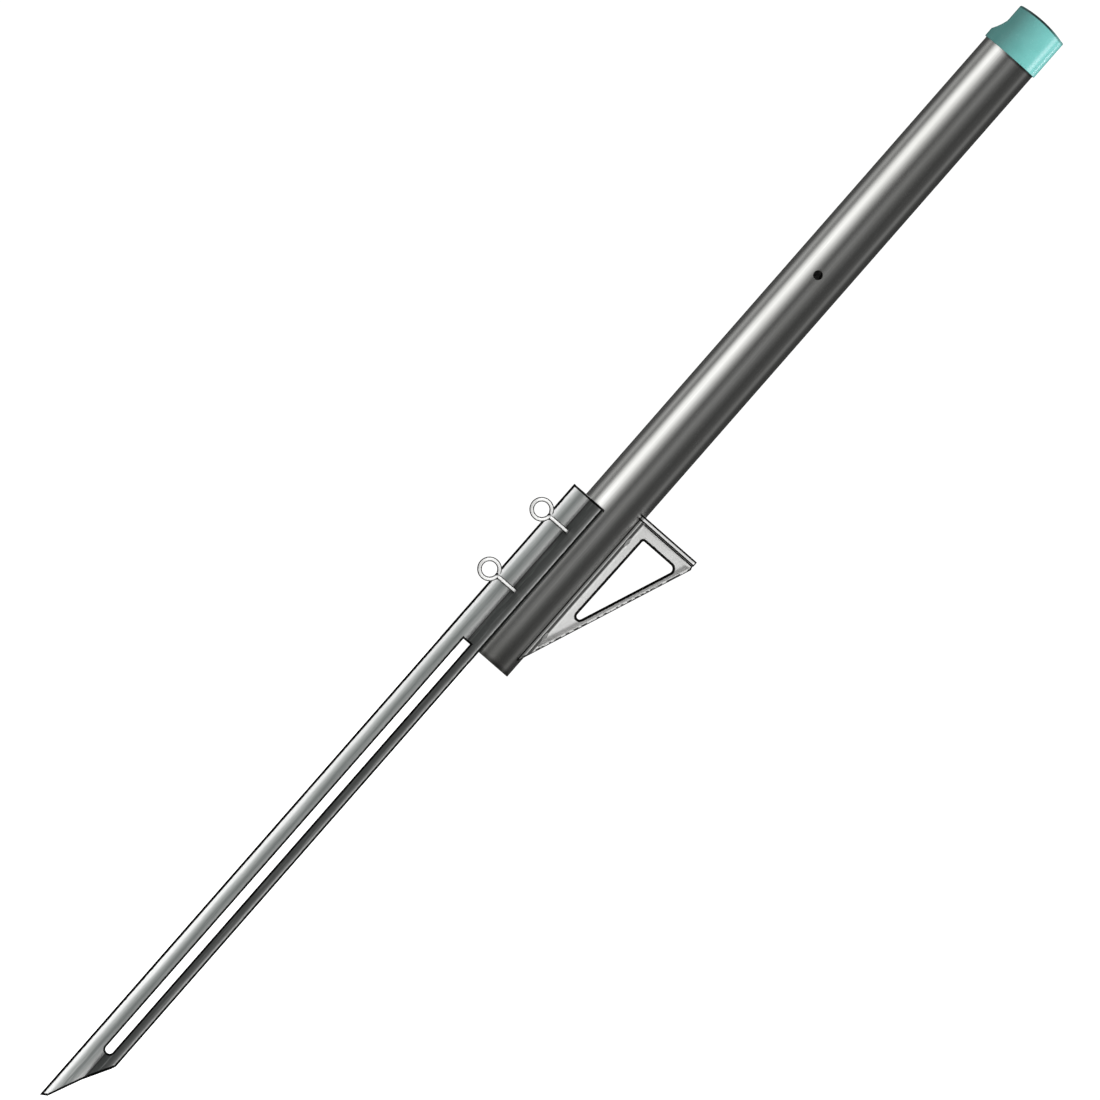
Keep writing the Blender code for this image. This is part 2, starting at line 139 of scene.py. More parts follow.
def prism(name, outline, low, high, matrix=None, inset=0.0):
    """An outline in its own XY from low to high along its own Z. inset chamfers both ends."""
    n = len(outline)
    pts = [Vector(p) for p in outline]
    area = sum(pts[i].x * pts[(i + 1) % n].y - pts[(i + 1) % n].x * pts[i].y for i in range(n))
    inner = []
    for i in range(n):
        a = (pts[i] - pts[i - 1]).normalized()
        b = (pts[(i + 1) % n] - pts[i]).normalized()
        side = -1 if area > 0 else 1
        na, nb = Vector((a.y, -a.x)) * side, Vector((b.y, -b.x)) * side
        half = (na + nb).normalized()
        inner.append(pts[i] + half * inset / max(0.35, half.dot(na)))
    levels = [(inner, low), (pts, low + inset), (pts, high - inset), (inner, high)] if inset else [
        (pts, low), (pts, high)]
    bm = bmesh.new()
    rings = [[bm.verts.new((p.x * MM, p.y * MM, z * MM)) for p in line] for line, z in levels]
    for a, b in zip(rings, rings[1:]):
        for i in range(n):
            bm.faces.new((a[i], a[(i + 1) % n], b[(i + 1) % n], b[i]))
    bm.faces.new(rings[0])
    bm.faces.new(rings[-1])
    return made(name, bm, matrix)


def block(name, low, high, matrix=None):
    bm = bmesh.new()
    size = [(h - l) * MM for l, h in zip(low, high)]
    middle = [(h + l) / 2 * MM for l, h in zip(low, high)]
    bmesh.ops.create_cube(bm, size=1, matrix=Matrix.Translation(middle) @ Matrix.Diagonal((*size, 1)))
    return made(name, bm, matrix)


def rod(name, radius, low, high, matrix=None, sides=48):
    return prism(name, [(radius * math.cos(2 * math.pi * i / sides),
                         radius * math.sin(2 * math.pi * i / sides)) for i in range(sides)],
                 low, high, matrix)


def rounded(corners, steps=6):
    out = []
    n = len(corners)
    for i, (x, y, r) in enumerate(corners):
        p = Vector((x, y))
        a = (Vector(corners[i - 1][:2]) - p).normalized()
        b = (Vector(corners[(i + 1) % n][:2]) - p).normalized()
        half = a.angle(b) / 2
        if r <= 0:
            out.append((x, y))
            continue
        centre = p + (a + b).normalized() * (r / math.sin(half))
        u = (p + a * (r / math.tan(half))) - centre
        v = (p + b * (r / math.tan(half))) - centre
        sweep = math.atan2(u.x * v.y - u.y * v.x, u.dot(v))
        for k in range(steps + 1):
            c, s = math.cos(sweep * k / steps), math.sin(sweep * k / steps)
            q = centre + Vector((u.x * c - u.y * s, u.x * s + u.y * c))
            out.append((q.x, q.y))
    return out


def u_shape(x, y, r, top, steps=40):
    out = [(x + r, top), (x - r, top)]
    for i in range(steps + 1):
        t = math.pi + math.pi * i / steps
        out.append((x + r * math.cos(t), y + r * math.sin(t)))
    return out


def settle(o):
    """Applies the object's modifiers."""
    dg = bpy.context.evaluated_depsgraph_get()
    mesh = bpy.data.meshes.new_from_object(o.evaluated_get(dg), depsgraph=dg)
    old = o.data
    o.modifiers.clear()
    o.data = mesh
    mesh.name = o.name
    bpy.data.meshes.remove(old)
    return o


def combine(o, tools, operation="DIFFERENCE", keep=False):
    for t in tools:
        m = o.modifiers.new("combine", "BOOLEAN")
        m.operation = operation
        m.solver = "EXACT"
        m.object = t
    settle(o)
    if not keep:
        for t in tools:
            bpy.data.objects.remove(t, do_unlink=True)
    return o


def remesh(o, voxel, rounds):
    m = o.modifiers.new("remesh", "REMESH")
    m.mode = "VOXEL"
    m.voxel_size = voxel * MM
    m.adaptivity = 0
    settle(o)
    relax(o.data, rounds)
    o.data.shade_smooth()
    return o


def relax(mesh, rounds, lam=0.5, mu=-0.52):
    """Evens a mesh out without shrinking it."""
    n = len(mesh.vertices)
    co = np.zeros(n * 3)
    mesh.vertices.foreach_get("co", co)
    co = co.reshape(-1, 3)
    e = np.zeros(len(mesh.edges) * 2, np.int64)
    mesh.edges.foreach_get("vertices", e)
    e = e.reshape(-1, 2)
    a, b = np.concatenate((e[:, 0], e[:, 1])), np.concatenate((e[:, 1], e[:, 0]))
    degree = np.maximum(np.bincount(a, minlength=n), 1)
    for _ in range(rounds):
        for f in (lam, mu):
            mean = np.stack([np.bincount(a, weights=co[b, k], minlength=n) for k in range(3)], 1)
            co += f * (mean / degree[:, None] - co)
    mesh.vertices.foreach_set("co", co.ravel())
    mesh.update()


def coordinates(mesh):
    co = np.zeros(len(mesh.vertices) * 3)
    mesh.vertices.foreach_get("co", co)
    return co.reshape(-1, 3)


def place(mesh, co):
    mesh.vertices.foreach_set("co", co.ravel())
    mesh.update()


def crisp(o, angle=30, weighted=True):
    o.data.shade_smooth()
    o.data.set_sharp_from_angle(angle=math.radians(angle))
    if weighted:
        w = o.modifiers.new("flats", "WEIGHTED_NORMAL")
        w.keep_sharp = True
        w.weight = 100
    return o


def round_wall(mesh, radii, tolerance=0.02):
    """Exact normals on the walls of a turned piece, so that holes in them don't disturb the shading."""
    co = coordinates(mesh)
    r = np.hypot(co[:, 0], co[:, 1]) / MM
    normals = [Vector(n.vector) for n in mesh.corner_normals]
    for p in mesh.polygons:
        if abs(p.normal.z) > 0.02:
            continue
        vs = [mesh.loops[i].vertex_index for i in p.loop_indices]
        for radius, sign in radii:
            if all(abs(r[v] - radius) < tolerance for v in vs):
                for i in p.loop_indices:
                    c = co[mesh.loops[i].vertex_index]
                    normals[i] = Vector((c[0], c[1], 0)).normalized() * sign
    mesh.normals_split_custom_set(normals)


# ---------------------------------------------------------------- camera
TILT, ROLL, DISTANCE = 0.0, math.radians(41.2), 20.0
back = Vector((0, -math.cos(TILT), math.sin(TILT)))
right0, up0 = Vector((1, 0, 0)), Vector((0, math.sin(TILT), math.cos(TILT)))
right = right0 * math.cos(ROLL) + up0 * math.sin(ROLL)
up = up0 * math.cos(ROLL) - right0 * math.sin(ROLL)
aim = Vector((-0.0172, 0, 0.1028))
lens = bpy.data.cameras.new("camera")
lens.lens, lens.sensor_width = 787.5, 36
lens.clip_start, lens.clip_end = 0.1, 400
camera = bpy.data.objects.new("camera", lens)
camera.matrix_world = Matrix(
    ((right.x, up.x, back.x, 0), (right.y, up.y, back.y, 0), (right.z, up.z, back.z, 0), (0, 0, 0, 1))
)
camera.location = aim + back * DISTANCE
scene.collection.objects.link(camera)
scene.camera = camera
scene.view_settings.view_transform = "Standard"
scene.view_settings.look = "None"
scene.view_settings.exposure = 0
scene.view_settings.gamma = 1


# ---------------------------------------------------------------- node helper
class Tree:
    """Short calls for building a node tree."""

    def __init__(self, tree):
        self.t = tree

    def add(self, kind, inputs=None, **props):
        n = self.t.nodes.new(kind)
        for k, v in props.items():
            setattr(n, k, v)
        for k, v in (inputs or {}).items():
            self.put(n.inputs[k], v)
        return n

    def put(self, socket, value):
        if isinstance(value, bpy.types.NodeSocket):
            self.t.links.new(value, socket)
        elif isinstance(value, (tuple, list)) and len(value) == 3 and len(socket.default_value) == 4:
            socket.default_value = (*value, 1)
        else:
            socket.default_value = value

    def math(self, operation, a, b=None, clamp=False):
        n = self.t.nodes.new("ShaderNodeMath")
        n.operation = operation
        n.use_clamp = clamp
        self.put(n.inputs[0], a)
        if b is not None:
            self.put(n.inputs[1], b)
        return n.outputs[0]

    def dot(self, vector, axis):
        n = self.add("ShaderNodeVectorMath", operation="DOT_PRODUCT")
        self.put(n.inputs[0], vector)
        n.inputs[1].default_value = axis
        return n.outputs["Value"]

    def span(self, value, low, high, to_low=0.0, to_high=1.0, smooth=False):
        n = self.add("ShaderNodeMapRange", clamp=True,
                     interpolation_type="SMOOTHSTEP" if smooth else "LINEAR")
        self.put(n.inputs["Value"], value)
        for k, v in (("From Min", low), ("From Max", high), ("To Min", to_low), ("To Max", to_high)):
            self.put(n.inputs[k], v)
        return n.outputs["Result"]

    def noise(self, vector, scale, detail=3.0, rough=0.55, stretch=None, colour=False):
        if stretch:
            n = self.add("ShaderNodeVectorMath", operation="MULTIPLY")
            self.put(n.inputs[0], vector)
            n.inputs[1].default_value = stretch
            vector = n.outputs["Vector"]
        n = self.add("ShaderNodeTexNoise", {"Vector": vector, "Scale": scale, "Detail": detail,
                                            "Roughness": rough})
        return n.outputs["Color" if colour else "Fac"]

    def ramp(self, value, stops, interpolation="LINEAR"):
        n = self.add("ShaderNodeValToRGB", {"Fac": value})
        n.color_ramp.interpolation = interpolation
        e = n.color_ramp.elements
        while len(e) > 1:
            e.remove(e[-1])
        for i, (at, c) in enumerate(stops):
            s = e[0] if i == 0 else e.new(at)
            s.position = at
            s.color = (c, c, c, 1) if isinstance(c, (int, float)) else (*c, 1)
        return n.outputs["Color"]

    def mix(self, factor, a, b, blend="MIX"):
        n = self.add("ShaderNodeMix", data_type="RGBA", blend_type=blend)
        self.put(n.inputs[0], factor)
        self.put(n.inputs[6], a)
        self.put(n.inputs[7], b)
        return n.outputs[2]

    def plane(self, at, normal, through):
        """Signed distance from a plane through a point, both in mm."""
        n = Vector(normal).normalized()
        return self.math("SUBTRACT", self.dot(at, tuple(n)), n.dot(Vector(through)) * MM)

    def most(self, *values):
        out = values[0]
        for v in values[1:]:
            out = self.math("MAXIMUM", out, v)
        return out

    def both(self, *values):
        out = values[0]
        for v in values[1:]:
            out = self.math("MULTIPLY", out, v)
        return out

    def below(self, value, limit, soft=0.35):
        """1 where value is under limit (mm), 0 over it."""
        return self.span(value, (limit - soft / 2) * MM, (limit + soft / 2) * MM, 1.0, 0.0)

    def above(self, value, limit, soft=0.35):
        return self.span(value, (limit - soft / 2) * MM, (limit + soft / 2) * MM, 0.0, 1.0)

    def bump(self, height, distance, strength=1.0, normal=None):
        n = self.add("ShaderNodeBump", {"Height": height, "Distance": distance, "Strength": strength})
        if normal is not None:
            self.put(n.inputs["Normal"], normal)
        return n.outputs["Normal"]


def material(name):
    m = bpy.data.materials.new(name)
    m.use_nodes = True
    t = Tree(m.node_tree)
    shader = m.node_tree.nodes["Principled BSDF"]
    at = t.add("ShaderNodeTexCoord").outputs["Object"]
    return m, t, shader, at


# ---------------------------------------------------------------- studio
world = bpy.data.worlds.new("studio")
scene.world = world
world.use_nodes = True
world.node_tree.nodes.clear()
t = Tree(world.node_tree)
way = t.add("ShaderNodeTexCoord").outputs["Generated"]
split = t.add("ShaderNodeSeparateXYZ", {0: way})
turn = t.math("ARCTAN2", split.outputs["X"], t.math("MULTIPLY", split.outputs["Y"], -1.0))
share = t.span(turn, -math.pi, math.pi)
# what the polished metal sees round the horizon: azimuth in degrees, 0 at the camera, + to the right
CARDS = [
    (-180, 0.07), (-160, 0.075), (-140, 0.085), (-125, 0.11), (-113, 0.34), (-103, 0.58),
    (-94, 0.34), (-84, 0.22), (-75, 0.75), (-66, 1.42), (-53, 1.74), (-41, 1.24), (-28, 0.68),
    (-18, 0.34), (-9, 0.15), (-2, 0.12), (8, 0.21), (18, 0.30), (28, 0.22), (40, 0.125),
    (56, 0.07), (74, 0.085), (86, 0.11), (95, 0.22), (103, 0.24), (112, 0.11), (124, 0.06),
    (140, 0.055), (158, 0.06), (180, 0.07),
]
cards = t.ramp(share, [((a + 180) / 360, min(v, 2.0) / 2) for a, v in CARDS])
cards = t.mix(1.0, cards, (2.0, 2.0, 1.975), "MULTIPLY")
height = split.outputs["Z"]
cards = t.mix(t.span(height, 0.35, 0.95, smooth=True), cards, (0.95, 0.95, 0.95))
cards = t.mix(t.span(height, -0.35, -0.95, smooth=True), cards, (0.30, 0.30, 0.295))
path = t.add("ShaderNodeLightPath")
fill = t.mix(path.outputs["Is Glossy Ray"], (0.45, 0.45, 0.45), cards)
seen = t.mix(path.outputs["Is Camera Ray"], fill, (1.06, 1.06, 1.06))
shine = t.add("ShaderNodeBackground", {"Color": seen, "Strength": 1.0})
t.add("ShaderNodeOutputWorld", {"Surface": shine.outputs[0]})
world.cycles.sampling_method = "NONE"


def sun(name, azimuth, elevation, strength, soft, glossy):
    data = bpy.data.lights.new(name, "SUN")
    data.energy = strength
    data.angle = math.radians(soft)
    o = bpy.data.objects.new(name, data)
    a, e = math.radians(azimuth), math.radians(elevation)
    source = Vector((math.sin(a) * math.cos(e), -math.cos(a) * math.cos(e), math.sin(e)))
    o.rotation_mode = "QUATERNION"
    o.rotation_quaternion = source.to_track_quat("Z", "Y")
    o.visible_glossy = glossy
    scene.collection.objects.link(o)
    return o


sun("key", 60, 3, 1.34 * math.pi, 14, False)
sun("overhead", 20, 82, 0.35 * math.pi, 40, False)


def card(name, azimuth, away, wide, tall, z, strength):
    """A low lamp at the cap's height that lights the cap alone."""
    data = bpy.data.lights.new(name, "AREA")
    data.shape = "RECTANGLE"
    data.size, data.size_y = wide, tall
    data.energy = strength
    data.color = (1.0, 0.93, 1.0)
    o = bpy.data.objects.new(name, data)
    a = math.radians(azimuth)
    toward = Vector((math.sin(a), -math.cos(a), 0))
    o.matrix_world = Matrix.Translation(toward * away + Vector((0, 0, z * MM))) @ Matrix(
        ((-toward.y, 0, toward.x, 0), (toward.x, 0, toward.y, 0), (0, 1, 0, 0), (0, 0, 0, 1)))
    o.visible_camera = False
    o.visible_diffuse = False
    o.visible_transmission = False
    o.light_linking.receiver_collection = cap_alone
    scene.collection.objects.link(o)
    return o


cap_alone = bpy.data.collections.new("cap_alone")
card("cap_card_right", 91, 0.6, 0.19, 0.027, 694, 0.60)
card("cap_card_far_right", 127, 0.6, 0.12, 0.027, 694, 0.12)

floor_bm = bmesh.new()
bmesh.ops.create_grid(floor_bm, x_segments=8, y_segments=8, size=90)
floor = made("studio_floor", floor_bm, Matrix.Translation((0, 0, -0.53)))
m, t, shader, at = material("pale_floor")
tone = t.mix(t.noise(at, 0.6, 2), (0.86, 0.86, 0.86), (0.90, 0.90, 0.90))
t.put(shader.inputs["Base Color"], tone)
shader.inputs["Roughness"].default_value = 1.0
shader.inputs["Specular IOR Level"].default_value = 0.0
t.put(shader.inputs["Emission Color"], (1, 1, 1))
shader.inputs["Emission Strength"].default_value = 0.75
floor.data.materials.append(m)
floor.visible_diffuse = False
floor.visible_glossy = False

# ---------------------------------------------------------------- materials
def tube_metal():
    """Drawn aluminium tube: fine lines along it, a soft sheen, a little handling wear, darker towards its foot; painted
    shade in a dark band round its bottom end, and a painted shadow just under the cap's edge on its right side.
    """
    m, t, s, at = material("drawn_tube")
    fine = t.noise(at, 1, 2, stretch=(3200, 3200, 14))
    lines = t.noise(at, 1, 3, stretch=(900, 900, 5))
    bands = t.noise(at, 1, 2, stretch=(160, 160, 2.2))
    cloud = t.noise(at, 26, 4, 0.6, stretch=(1, 1, 0.35))
    marks = t.ramp(t.noise(at, 1, 3, 0.7, stretch=(420, 420, 30)), [(0.0, 0), (0.66, 0), (0.74, 1)])
    z = t.dot(at, (0, 0, 1))
    foot = t.span(z, 0.045, 0.0, smooth=True)
    # painted shade: a dark band round the tube's bottom end, standing in for its dark open end
    lip = t.both(t.below(z, 3.4, 3.0), t.span(cloud, 0.25, 0.6, 0.45, 1.0))
    # painted shadow: the tube is darkened just under the cap's edge, most on its right side
    under = t.both(t.above(z, CAP_BOTTOM - 1.7, 1.6), t.span(t.dot(at, (1, 0, 0)), -0.012, 0.004, 0.15, 1.0))
    away = t.math("SQRT", t.math("ADD", t.math("POWER", t.dot(at, (1, 0, 0)), 2.0),
                                t.math("POWER", t.dot(at, (0, 1, 0)), 2.0)))
    bore = t.below(away, R - 0.5, 0.2)
    tone = t.mix(t.span(lines, 0.3, 0.7), (0.585, 0.585, 0.575), (0.665, 0.665, 0.660))
    tone = t.mix(t.span(cloud, 0.35, 0.75), tone, (0.55, 0.55, 0.535))
    tone = t.mix(t.math("MULTIPLY", foot, t.span(cloud, 0.3, 0.7, 0.1, 0.55)), tone, (0.34, 0.335, 0.32))
    tone = t.mix(t.math("MULTIPLY", marks, 0.35), tone, (0.80, 0.80, 0.79))
    # the painted shade at the bottom end and the painted shadow under the cap
    tone = t.mix(t.math("MULTIPLY", lip, 0.62), tone, (0.05, 0.05, 0.046))
    tone = t.mix(t.math("MULTIPLY", under, 0.75), tone, (0.05, 0.05, 0.048))
    tone = t.mix(bore, tone, t.mix(cloud, (0.34, 0.34, 0.33), (0.50, 0.50, 0.48)))
    t.put(s.inputs["Base Color"], tone)
    t.put(s.inputs["Metallic"], t.span(bore, 0.0, 1.0, 1.0, 0.25))
    rough = t.math("ADD", t.span(bands, 0.25, 0.75, 0.15, 0.22), t.span(cloud, 0.3, 0.8, 0.0, 0.06))
    rough = t.math("ADD", rough, t.math("MULTIPLY", marks, 0.06))
    t.put(s.inputs["Roughness"], rough)
    deep = t.math("ADD", t.math("MULTIPLY", fine, 0.6), t.math("MULTIPLY", lines, 0.8))
    t.put(s.inputs["Normal"], t.bump(deep, 0.000010))
    return m


def angle_metal():
    """Mill-finish angle: drawing lines along it, sand scuffs towards the point, a painted highlight along the free
    leg's edge and corner with painted shade across its middle, and painted shade on the seated leg.
    """
    m, t, s, at = material("mill_angle")
    out = t.math("SUBTRACT", t.dot(at, tuple(OUT)), SEAT * MM)
    across = t.math("SUBTRACT", t.dot(at, tuple(ACROSS)), CORNER_W * MM)
    z = t.dot(at, (0, 0, 1))
    fine = t.noise(at, 1, 2, stretch=(2600, 2600, 12))
    lines = t.noise(at, 1, 3, stretch=(700, 700, 4))
    cloud = t.noise(at, 1, 4, 0.6, stretch=(60, 60, 12))
    scour = t.noise(at, 1, 3, 0.65, stretch=(380, 380, 22))
    wander = t.math("MULTIPLY", t.math("SUBTRACT", cloud, 0.5), 0.0045)
    # the painted highlight band along the free leg's edge is wider near the point
    low = t.span(z, 0.10, -0.50)
    at_leg = t.math("ADD", t.math("ADD", out, wander), t.math("MULTIPLY", low, 0.0012))
    leg = t.span(at_leg, 0.0, 0.025)
    # painted light and shade across the free leg: a painted highlight at its corner and its edge, painted shade across
    # its middle
    tone = t.ramp(leg, [
        (0.00, (0.78, 0.79, 0.78)), (0.09, (0.68, 0.69, 0.68)), (0.20, (0.54, 0.55, 0.54)),
        (0.31, (0.42, 0.432, 0.425)), (0.41, (0.335, 0.352, 0.345)), (0.50, (0.245, 0.262, 0.256)),
        (0.58, (0.275, 0.292, 0.286)), (0.69, (0.45, 0.47, 0.46)), (0.80, (0.59, 0.608, 0.60)),
        (0.90, (0.90, 0.91, 0.905)), (1.0, (0.98, 0.985, 0.98)),
    ])
    # painted shade: the seated leg is coloured dark, with a painted lighter strip near its far edge
    seated = t.span(across, 0.0, 0.0012, smooth=True)
    base = t.ramp(t.span(across, 0.0, 0.0165), [
        (0.0, (0.095, 0.10, 0.098)), (0.5, (0.105, 0.11, 0.108)), (0.72, (0.135, 0.137, 0.135)),
        (0.84, (0.20, 0.202, 0.20)), (0.91, (0.44, 0.443, 0.44)), (0.97, (0.62, 0.625, 0.62)),
    ])
    tone = t.mix(seated, tone, base)
    tone = t.mix(t.span(lines, 0.35, 0.7, 0.0, 0.22), tone, t.mix(1.0, tone, (0.62, 0.62, 0.61), "MULTIPLY"))
    tip = t.span(z, -0.44, -0.51, smooth=True)
    scuffed = t.math("MULTIPLY", t.span(scour, 0.52, 0.62), t.math("ADD", t.math("MULTIPLY", tip, 0.45), 0.10))
    tone = t.mix(scuffed, tone, (0.74, 0.75, 0.74))
    # painted shade: dark outlines along the slot's rim, the point, the blunt cut, the top end and the legs' edge faces,
    # and a dark line in the inner corner
    x = t.math("SUBTRACT", t.dot(at, (1, 0, 0)), SLOT_X * MM)
    half = SLOT_SEEN_W / 2
    drop = t.math("MINIMUM", t.math("SUBTRACT", z, (SLOT_LOW + SLOT_W / 2) * MM), 0.0)
    ring = t.math("SQRT", t.math("ADD", t.math("MULTIPLY", x, x), t.math("MULTIPLY", drop, drop)))
    from_slot = t.most(t.math("SUBTRACT", ring, half * MM), t.math("SUBTRACT", z, SLOT_HIGH * MM))
    corner_at = OUT * SEAT + ACROSS * CORNER_W
    edge_x = (corner_at + OUT * (LEG_FREE - ANGLE_T) - ACROSS * ANGLE_T).x
    point = t.plane(at, (-POINT_SLOPE_X, -POINT_SLOPE_Y, 1), (corner_at.x, corner_at.y, TIP_Z + POINT_AT_CORNER))
    blunt = t.plane(at, (-BLUNT_SLOPE, 0, 1), (edge_x, corner_at.y, TIP_Z))
    ragged = t.math("MULTIPLY", t.math("SUBTRACT", t.noise(at, 1, 3, 0.6, stretch=(500, 500, 260)), 0.5), 0.0007)
    near_face = t.most(t.both(t.above(out, -0.8), t.above(across, -0.8)), t.below(out, -2.5), t.below(across, -2.5))
    dark = t.most(
        t.both(t.below(t.math("ADD", from_slot, ragged), 1.75), near_face),
        t.below(t.math("ADD", point, ragged), 2.0), t.below(t.math("ADD", blunt, ragged), 2.0),
        t.both(t.above(t.math("ADD", z, ragged), ANGLE_TOP - 2.0), t.below(z, ANGLE_TOP - 0.15)),
        t.both(t.above(out, LEG_FREE - ANGLE_T - 0.7), t.below(t.math("ADD", across, ragged), -0.3)),
        t.both(t.above(across, LEG_SEATED - ANGLE_T - 0.3), t.below(t.math("ADD", out, ragged), -0.1)),
        t.both(t.above(across, 0.15), t.below(across, 1.15), 0.75),
    )
    tone = t.mix(dark, tone, (0.006, 0.0065, 0.006))
    t.put(s.inputs["Base Color"], tone)
    worn = t.both(t.span(leg, 0.70, 0.90), t.span(z, 0.10, -0.30, 0.35, 1.0), 0.22)
    t.put(s.inputs["Metallic"], t.both(t.math("SUBTRACT", 0.5, worn), t.span(dark, 0.0, 1.0, 1.0, 0.0)))
    t.put(s.inputs["Specular IOR Level"], t.span(dark, 0.0, 1.0, 0.5, 0.0))
    t.put(s.inputs["Roughness"], t.math("ADD", t.span(cloud, 0.3, 0.7, 0.34, 0.44), t.math("MULTIPLY", scuffed, 0.12)))
    deep = t.math("ADD", t.math("MULTIPLY", fine, 0.5), t.math("MULTIPLY", lines, 0.9))
    deep = t.math("SUBTRACT", deep, t.math("MULTIPLY", t.span(scour, 0.56, 0.66), 0.6))
    t.put(s.inputs["Normal"], t.bump(deep, 0.000022))
    return m


def vinyl(name="seafoam_vinyl"):
    """Dip-moulded vinyl: an even skin with a faint orange peel, paler where it is rubbed; painted shade along its top
    rim and the notch's edge.
    """
    m, t, s, at = material(name)
    cloud = t.noise(at, 60, 4, 0.55)
    peel = t.noise(at, 900, 2, 0.5)
    speck = t.ramp(t.noise(at, 1600, 2, 0.5), [(0.0, 0), (0.70, 0), (0.76, 1)])
    scuff = t.ramp(t.noise(at, 1, 3, 0.7, stretch=(260, 260, 900)), [(0.0, 0), (0.63, 0), (0.72, 1)])
    z = t.dot(at, (0, 0, 1))
    x, y = t.dot(at, (1, 0, 0)), t.dot(at, (0, 1, 0))
    crown = t.math("MINIMUM", t.math("MULTIPLY", t.math("MULTIPLY", x, x), CROWN * 1000), CROWN_MOST * MM)
    down = t.math("SUBTRACT", CAP_TOP * MM, t.math("ADD", z, crown))
    # painted shade: a dark band along the top rim, darkest at the front and back
    rim = t.both(t.below(down, 1.95, 0.8), t.span(t.math("ABSOLUTE", x), 0.010, 0.024, 1.0, 0.45))
    dip = t.math("MINIMUM", t.math("SUBTRACT", z, NOTCH_Z * MM), 0.0)
    from_notch = t.math("SUBTRACT", t.math("SQRT", t.math("ADD", t.math("MULTIPLY", y, y), t.math("MULTIPLY", dip, dip))), NOTCH_R * MM)
    # painted shade: a dark line round the notch's edge on its left side
    lip = t.both(t.below(from_notch, 0.75, 0.5), t.below(x, 0.0), 0.5)
    tone = t.mix(t.span(cloud, 0.3, 0.7), (0.134, 0.402, 0.378), (0.156, 0.438, 0.414))
    tone = t.mix(t.math("MULTIPLY", speck, 0.18), tone, (0.10, 0.30, 0.28))
    tone = t.mix(t.math("MULTIPLY", scuff, 0.16), tone, (0.36, 0.60, 0.57))
    # the painted shade of the top rim and of the notch's edge
    tone = t.mix(t.math("MULTIPLY", rim, 0.97), tone, (0.008, 0.016, 0.015))
    tone = t.mix(lip, tone, (0.03, 0.09, 0.08))
    t.put(s.inputs["Base Color"], tone)
    t.put(s.inputs["Roughness"], t.math("ADD", t.span(cloud, 0.3, 0.7, 0.24, 0.28), t.math("MULTIPLY", scuff, 0.05)))
    s.inputs["IOR"].default_value = 1.5
    s.inputs["Specular IOR Level"].default_value = 0.25
    s.inputs["Subsurface Weight"].default_value = 0.08
    s.inputs["Subsurface Radius"].default_value = (0.4, 1.0, 0.9)
    s.inputs["Subsurface Scale"].default_value = 0.0012
    t.put(s.inputs["Normal"], t.bump(peel, 0.0000025))
    return m


